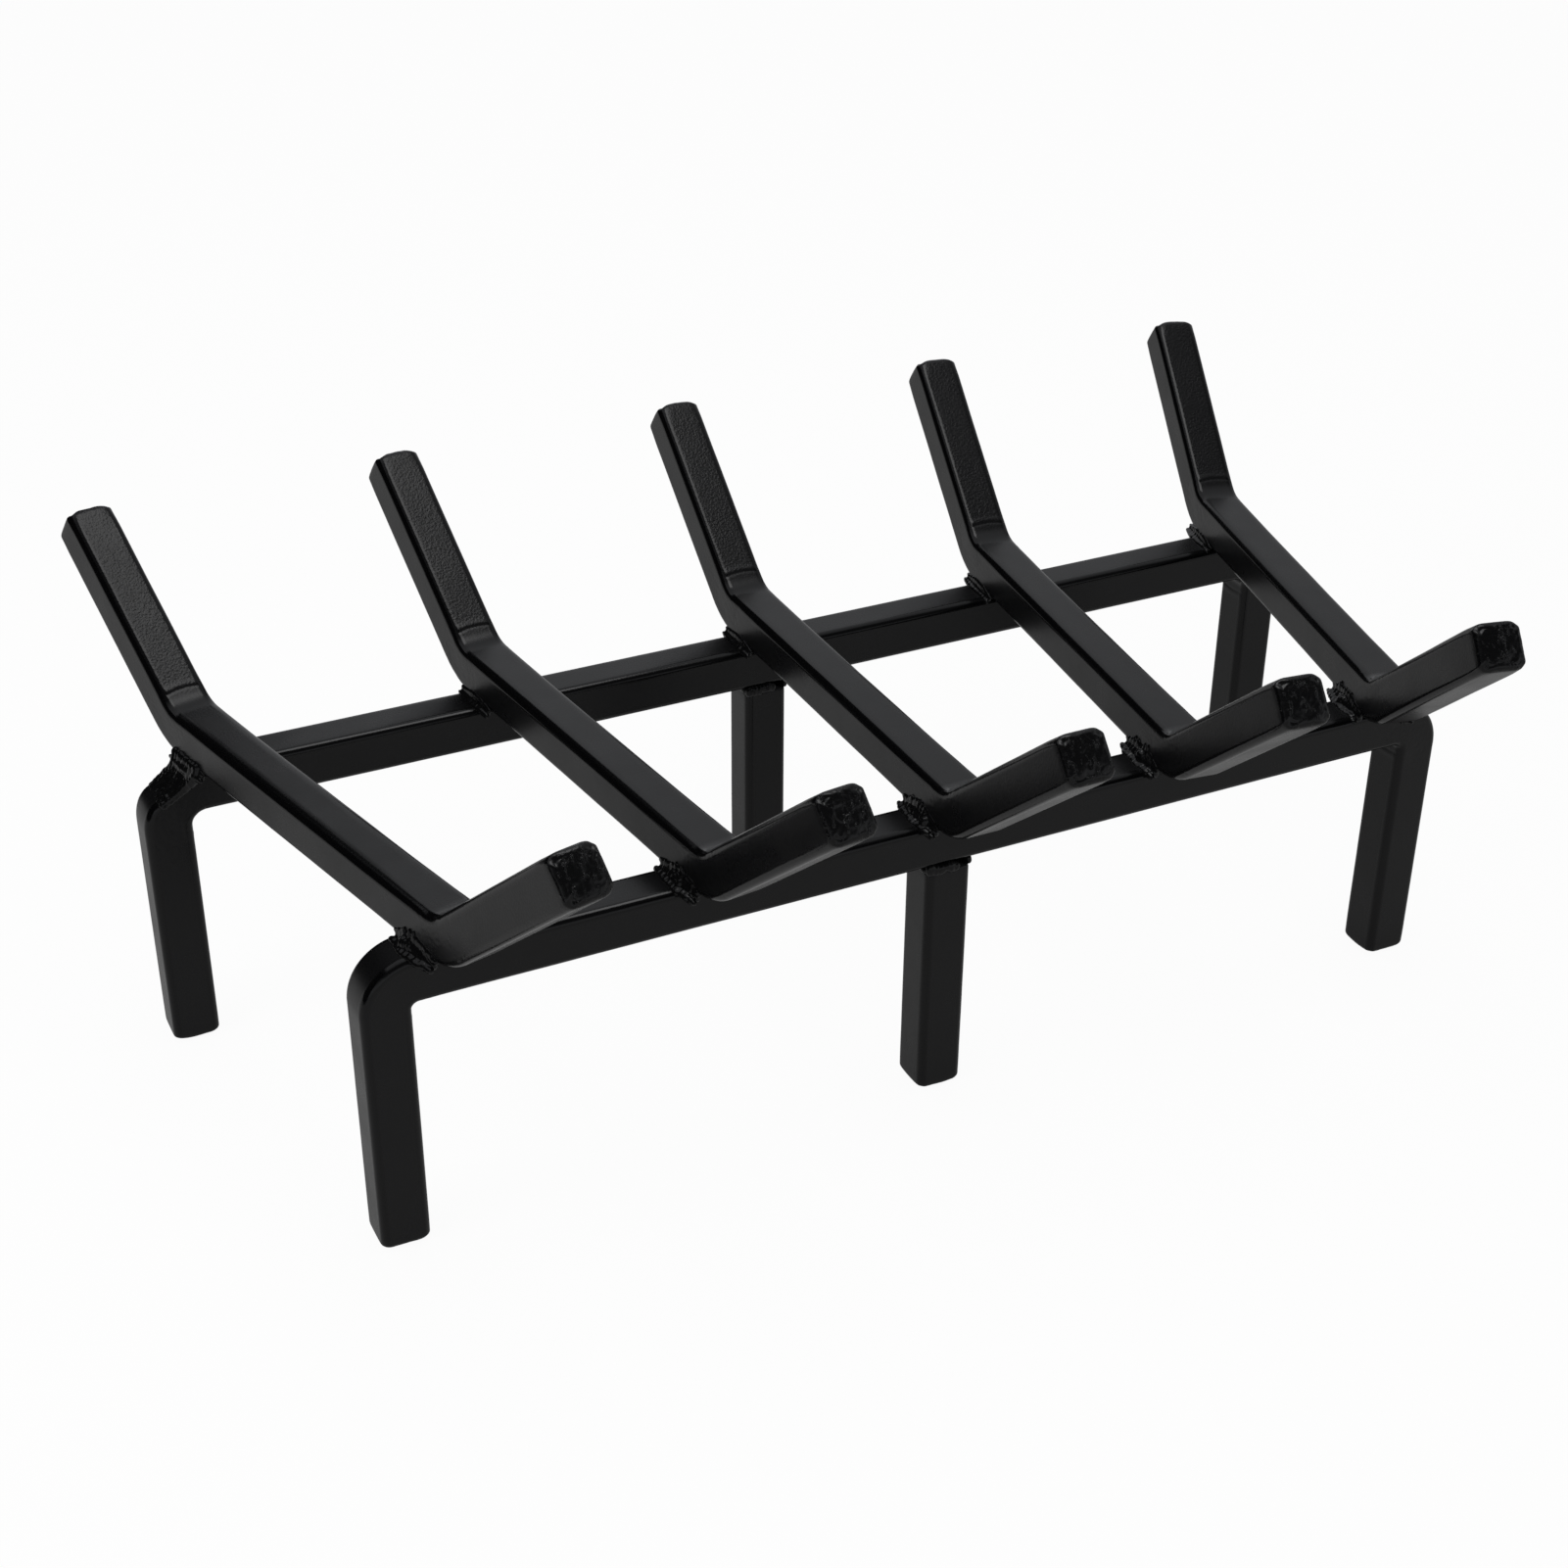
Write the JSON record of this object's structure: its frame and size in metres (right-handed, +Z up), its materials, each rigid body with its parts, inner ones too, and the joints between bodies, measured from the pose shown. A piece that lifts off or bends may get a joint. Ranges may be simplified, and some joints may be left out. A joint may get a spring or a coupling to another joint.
{
  "type": "log grate",
  "caption": "Free-standing fireplace log grate of welded square steel bar: fanned cradle bars, bent up at both ends, lie across rails whose ends are bent down into legs.",
  "frame": {"origin": "on the hearth under the middle of the grate, level with the feet", "axes": "+X runs along the rails, +Y from the grate's narrow back to its wide front, +Z up"},
  "size_m": [0.536, 0.3524, 0.2022],
  "materials": {
    "painted_bar": "satin black heat-resistant paint",
    "painted_weld": "glossy black paint over lumpy weld metal"
  },
  "bodies": {
    "root": {"back_rail": "painted_bar", "front_rail": "painted_bar", "back_middle_leg": "painted_bar", "front_middle_leg": "painted_bar", "grate_bar_1": "painted_bar", "grate_bar_2": "painted_bar", "grate_bar_3": "painted_bar", "grate_bar_4": "painted_bar", "grate_bar_5": "painted_bar", "weld_back_1": "painted_weld", "weld_back_2": "painted_weld", "weld_back_3": "painted_weld", "weld_back_4": "painted_weld", "weld_back_5": "painted_weld", "weld_front_1": "painted_weld", "weld_front_2": "painted_weld", "weld_front_3": "painted_weld", "weld_front_4": "painted_weld", "weld_front_5": "painted_weld", "weld_back_leg": "painted_weld", "weld_front_leg": "painted_weld"}
  },
  "joints": []
}
